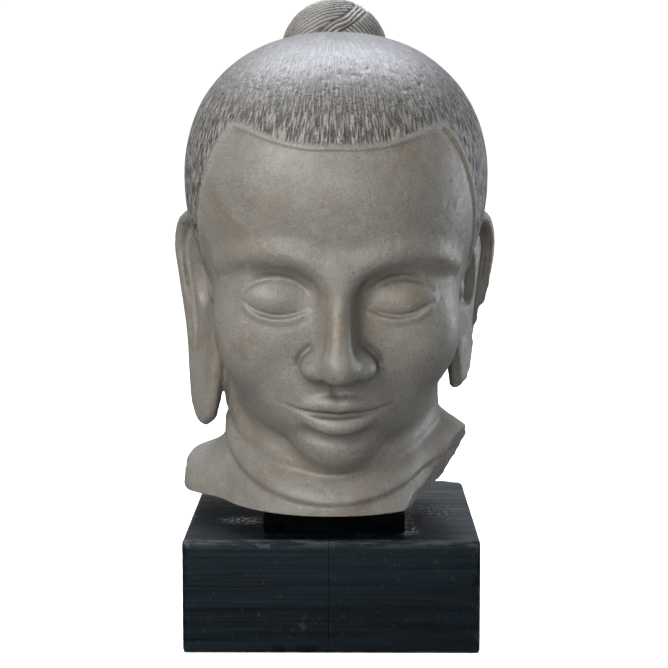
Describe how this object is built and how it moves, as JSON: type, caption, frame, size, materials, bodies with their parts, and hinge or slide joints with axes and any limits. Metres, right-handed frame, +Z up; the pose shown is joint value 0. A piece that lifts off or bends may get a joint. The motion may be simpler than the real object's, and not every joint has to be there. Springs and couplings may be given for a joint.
{
  "type": "stone buddha head on a plinth",
  "caption": "Carved stone head of a Buddha with cropped incised hair, a chignon and long ears, broken off at the neck, standing on a black wooden plinth.",
  "frame": {"origin": "middle of the plinth's underside, on the surface it stands on", "axes": "+Z up, +Y from the face to the back of the head, +X to the viewer's right"},
  "size_m": [0.2544, 0.2737, 0.4887],
  "materials": {
    "stone": "satin polish, worn",
    "plinth": "black stain, semi-gloss",
    "spacer": "matt black"
  },
  "bodies": {
    "root": {"stone_head": "stone", "mount_spacer": "spacer", "plinth_left": "plinth", "plinth_right": "plinth"}
  },
  "joints": []
}
